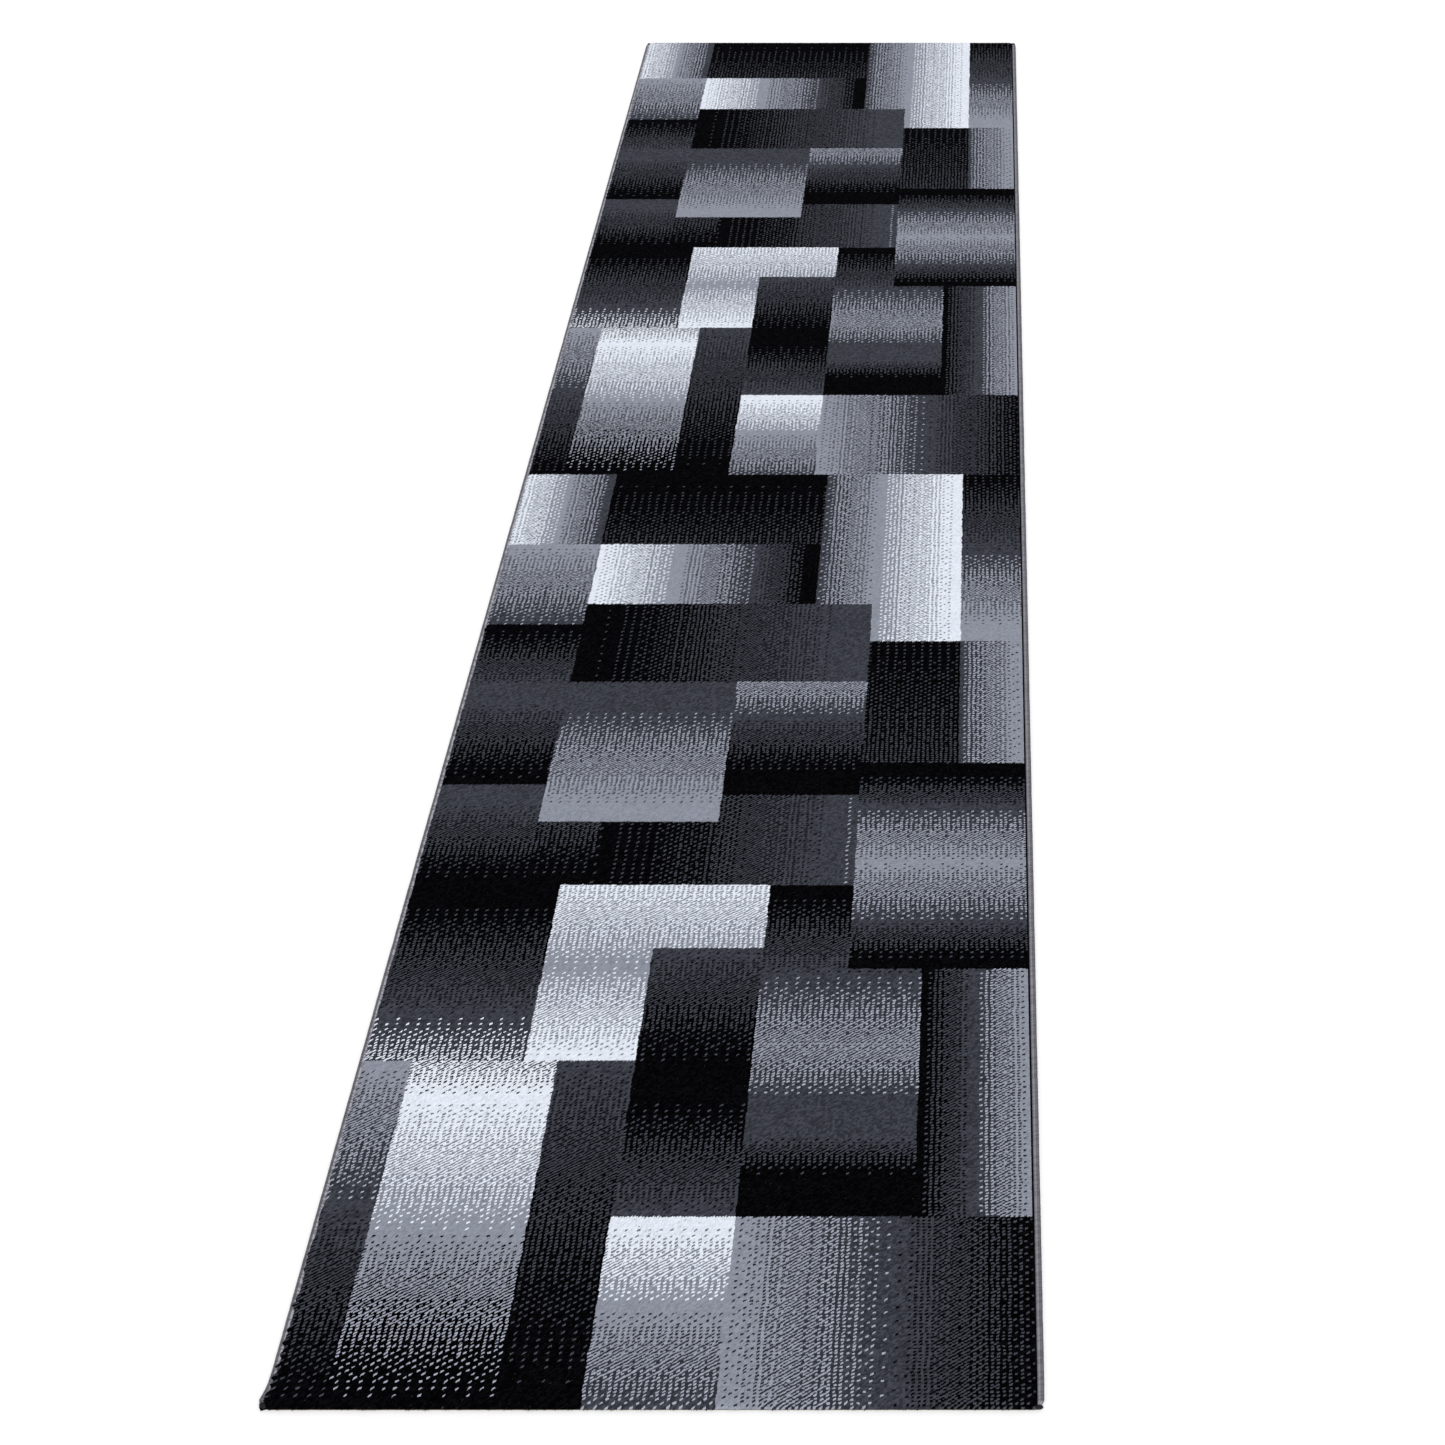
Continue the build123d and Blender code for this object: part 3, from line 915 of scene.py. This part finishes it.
for side in ("left", "right"):
    low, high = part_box(f"{side}_overlock_seam")
    middle = (low + high) / 2
    count = int((high.y - low.y) / STITCH_PITCH)
    start = Vector((middle.x, low.y + STITCH_PITCH / 2, middle.z))
    row = seam(start, Vector((0, STITCH_PITCH, 0)), count, STITCH)
    hand_over(row, f"{side}_overlock_stitches", [thread], "seam_thread", f"{side}_overlock_seam")

# %% [markdown]
# The care label lies in the window that the coat leaves for it. It is a thin slab with a slight
# ripple, left blank, and one line of stitches runs round just inside its border.

# %% Sew on the blank label
LABEL_GRID = 1.5 * MM
LABEL_RIPPLE, RIPPLE_SCALE = 0.08 * MM, 90
LABEL_STITCH_PITCH = 2.6 * MM
LABEL_STITCH = (2 * MM, 0.5 * MM, 0.14 * MM)
LABEL_SEAM_INSET = 0.4  # in mm
ring_low, ring_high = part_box("care_label_stitching")


def label_underside(x, y):
    """The height of the label's rippled underside."""
    ripple = noise.noise(Vector((x * RIPPLE_SCALE, y * RIPPLE_SCALE, 0)))
    return label_low.z + LABEL_RIPPLE * ripple


label_xs = spread(label_low.x, label_high.x, LABEL_GRID)
label_ys = spread(label_low.y, label_high.y, LABEL_GRID)
label = slab(label_xs, label_ys, label_underside, label_high.z)
hand_over(label, "blank_care_label", [label_cloth], "label_cloth", "care_label")
sides = []
for start, end in (
    ((ring_low.x, ring_low.y), (ring_high.x, ring_low.y)),
    ((ring_high.x, ring_low.y), (ring_high.x, ring_high.y)),
    ((ring_high.x, ring_high.y), (ring_low.x, ring_high.y)),
    ((ring_low.x, ring_high.y), (ring_low.x, ring_low.y)),
):
    first, last = Vector((*start, 0)), Vector((*end, 0))
    middle = Vector(((ring_low.x + ring_high.x) / 2, (ring_low.y + ring_high.y) / 2, 0))
    first += (middle - first).normalized() * LABEL_SEAM_INSET * MM
    last += (middle - last).normalized() * LABEL_SEAM_INSET * MM
    count = round((last - first).length / LABEL_STITCH_PITCH)
    step = (last - first) / count
    height = Vector((0, 0, (ring_low.z + ring_high.z) / 2))
    sides.append(seam(first + step / 2 + height, step, count, LABEL_STITCH))
hand_over(
    merged(sides), "care_label_stitches", [thread], "seam_thread", "care_label_stitching"
)

# %% [markdown]
# ## The cloth
# The weave is the rug's one sheet of cloth. Its cut size is its flat size, since the rug lies
# flat.

# %% [markdown]
# ## Floor and light
# A pale floor and soft, even light from all round show the pile's own colours. One broad light
# from behind the camera gives the tufts a shaded side.

# %% Lay the floor
FLOOR_SIZE = 400
FLOOR_DROP = 0.3 * MM  # keeps the rug's flat underside and the floor from sharing a plane
floor_bm = bmesh.new()
bmesh.ops.create_grid(floor_bm, x_segments=2, y_segments=2, size=FLOOR_SIZE / 2)
bmesh.ops.translate(floor_bm, vec=(0, 0, -FLOOR_DROP), verts=floor_bm.verts)
floor_mesh = bpy.data.meshes.new("floor")
floor_bm.to_mesh(floor_mesh)
floor_bm.free()
floor = bpy.data.objects.new("floor", floor_mesh)
scene.collection.objects.link(floor)
floor_paint = bpy.data.materials.new("floor_paint")
floor_paint.use_nodes = True
floor_shader = floor_paint.node_tree.nodes["Principled BSDF"]
floor_shader.inputs["Base Color"].default_value = (0.97, 0.97, 0.97, 1)
floor_shader.inputs["Roughness"].default_value = 0.9
floor_shader.inputs["Specular IOR Level"].default_value = 0
floor_mesh.materials.append(floor_paint)
print("floor side in metres:", FLOOR_SIZE)

# %% Light the studio
SKY_STRENGTH = 0.55
KEY_STRENGTH, KEY_SPREAD = 1.9, 40  # the spread is in degrees
KEY_FROM = Vector((0.35, -0.45, 1))
world = bpy.data.worlds.new("studio")
world.use_nodes = True
world.node_tree.nodes["Background"].inputs["Color"].default_value = (1, 1, 1, 1)
world.node_tree.nodes["Background"].inputs["Strength"].default_value = SKY_STRENGTH
scene.world = world
key = bpy.data.lights.new("key", "SUN")
key.energy = KEY_STRENGTH
key.angle = math.radians(KEY_SPREAD)
key_light = bpy.data.objects.new("key", key)
key_light.rotation_euler = KEY_FROM.to_track_quat("Z", "Y").to_euler()
scene.collection.objects.link(key_light)
scene.view_settings.view_transform = "Standard"
print("key light strength:", key.energy)
